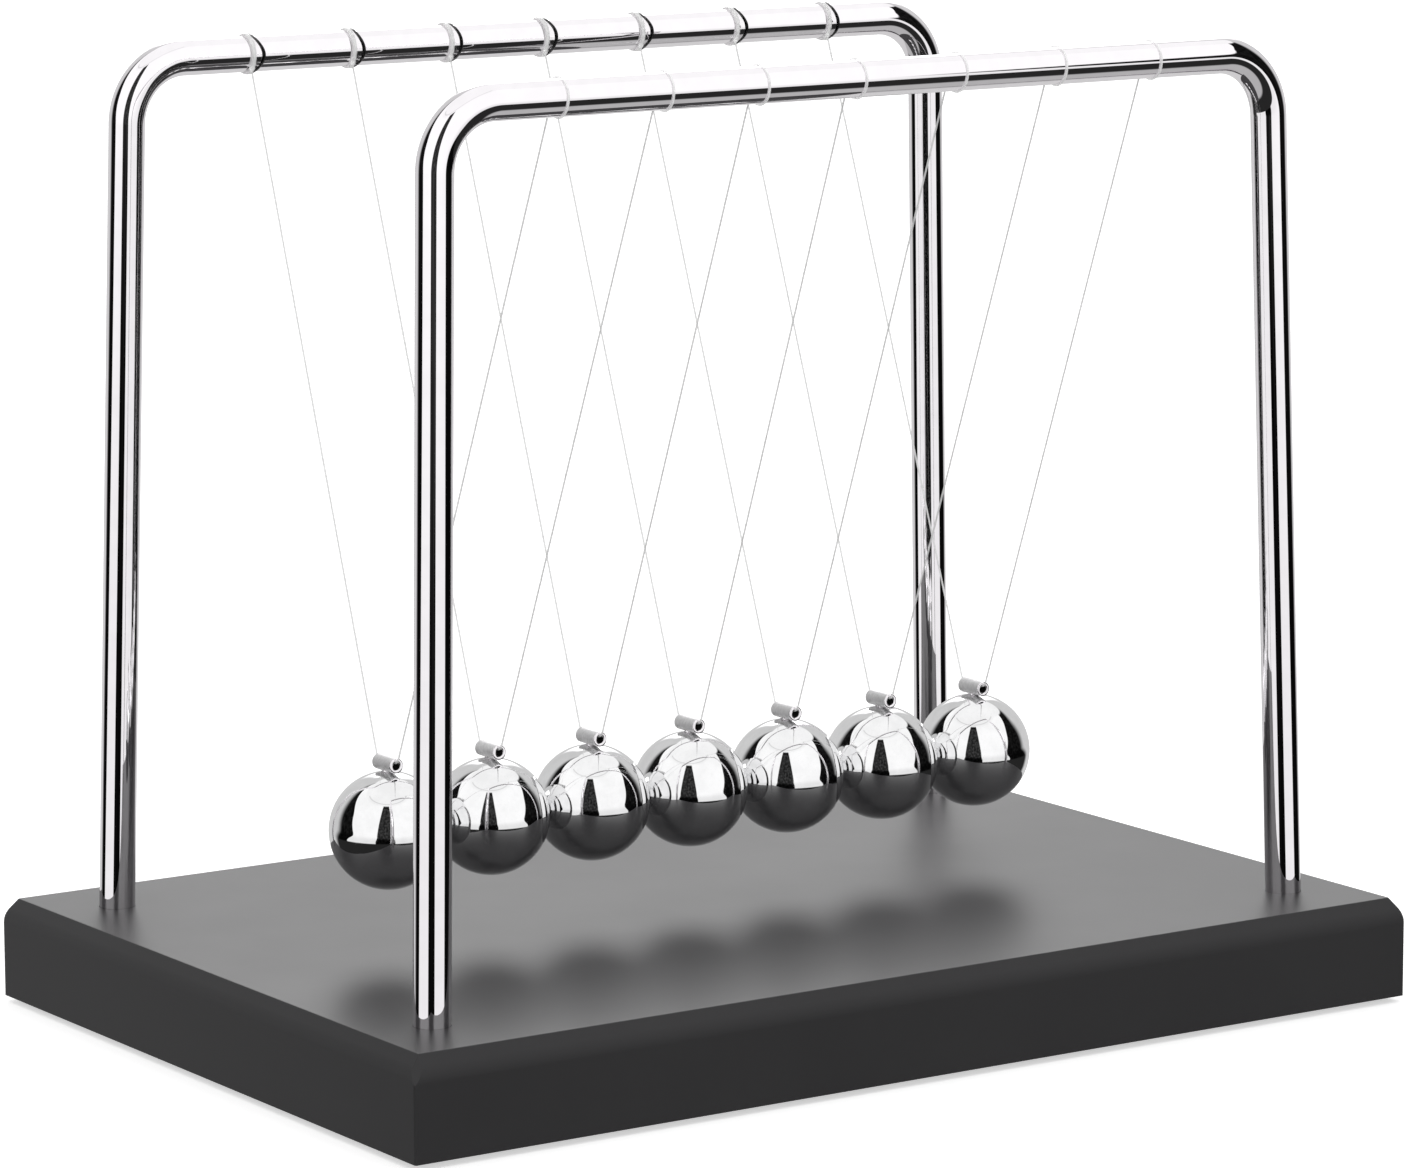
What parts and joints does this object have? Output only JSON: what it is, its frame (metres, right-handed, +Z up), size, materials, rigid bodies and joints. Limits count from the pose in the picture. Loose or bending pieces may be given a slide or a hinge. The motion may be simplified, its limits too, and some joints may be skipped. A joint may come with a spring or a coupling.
{
  "type": "newtons cradle",
  "caption": "Desk toy: a row of polished steel balls hung on thin V-shaped lines from two bent chrome rods that stand on a black board.",
  "frame": {"origin": "middle of the footprint, on the surface that the pads stand on", "axes": "+X along the row of balls, -Y to the front, +Z up"},
  "size_m": [0.22, 0.152, 0.1844],
  "materials": {
    "board": "satin black",
    "chrome": "polished",
    "polished_steel": "mirror polished",
    "nickel": "satin",
    "nylon": "clear",
    "rubber": "matte",
    "zinc": "zinc plated"
  },
  "bodies": {
    "stand": {"base": "board", "rubber_pads": "rubber", "front_frame": "chrome", "back_frame": "chrome", "leg_screws": "zinc", "leg_washers": "zinc", "front_tie_1": "nylon", "back_tie_1": "nylon", "front_tie_2": "nylon", "back_tie_2": "nylon", "front_tie_3": "nylon", "back_tie_3": "nylon", "front_tie_4": "nylon", "back_tie_4": "nylon", "front_tie_5": "nylon", "back_tie_5": "nylon", "front_tie_6": "nylon", "back_tie_6": "nylon", "front_tie_7": "nylon", "back_tie_7": "nylon"},
    "swing_1": {"ball_1": "polished_steel", "tube_1": "nickel", "line_1": "nylon"},
    "swing_2": {"ball_2": "polished_steel", "tube_2": "nickel", "line_2": "nylon"},
    "swing_3": {"ball_3": "polished_steel", "tube_3": "nickel", "line_3": "nylon"},
    "swing_4": {"ball_4": "polished_steel", "tube_4": "nickel", "line_4": "nylon"},
    "swing_5": {"ball_5": "polished_steel", "tube_5": "nickel", "line_5": "nylon"},
    "swing_6": {"ball_6": "polished_steel", "tube_6": "nickel", "line_6": "nylon"},
    "swing_7": {"ball_7": "polished_steel", "tube_7": "nickel", "line_7": "nylon"}
  },
  "joints": [
    {"name": "ball_1_swing", "type": "hinge", "parent": "stand", "child": "swing_1", "pos_m": [-0.06625, 0, 0.17798], "axis": [-0.0029, 1, 0], "range_deg": [0, 60]},
    {"name": "ball_2_swing", "type": "hinge", "parent": "stand", "child": "swing_2", "pos_m": [-0.04435, 0, 0.17798], "axis": [-0.0029, 1, 0], "range_deg": [-0.04, 0.04]},
    {"name": "ball_3_swing", "type": "hinge", "parent": "stand", "child": "swing_3", "pos_m": [-0.0234, 0, 0.17798], "axis": [0.0116, 0.9999, 0], "range_deg": [-0.04, 0.04]},
    {"name": "ball_4_swing", "type": "hinge", "parent": "stand", "child": "swing_4", "pos_m": [-0.00225, 0, 0.17798], "axis": [0.0164, 0.9999, 0], "range_deg": [-0.04, 0.04]},
    {"name": "ball_5_swing", "type": "hinge", "parent": "stand", "child": "swing_5", "pos_m": [0.01985, 0, 0.17798], "axis": [0.0145, 0.9999, 0], "range_deg": [-0.04, 0.04]},
    {"name": "ball_6_swing", "type": "hinge", "parent": "stand", "child": "swing_6", "pos_m": [0.04225, 0, 0.17798], "axis": [0.0126, 0.9999, 0], "range_deg": [-0.04, 0.04]},
    {"name": "ball_7_swing", "type": "hinge", "parent": "stand", "child": "swing_7", "pos_m": [0.0642, 0, 0.17798], "axis": [0.0155, 0.9999, 0], "range_deg": [-60, 0]}
  ]
}
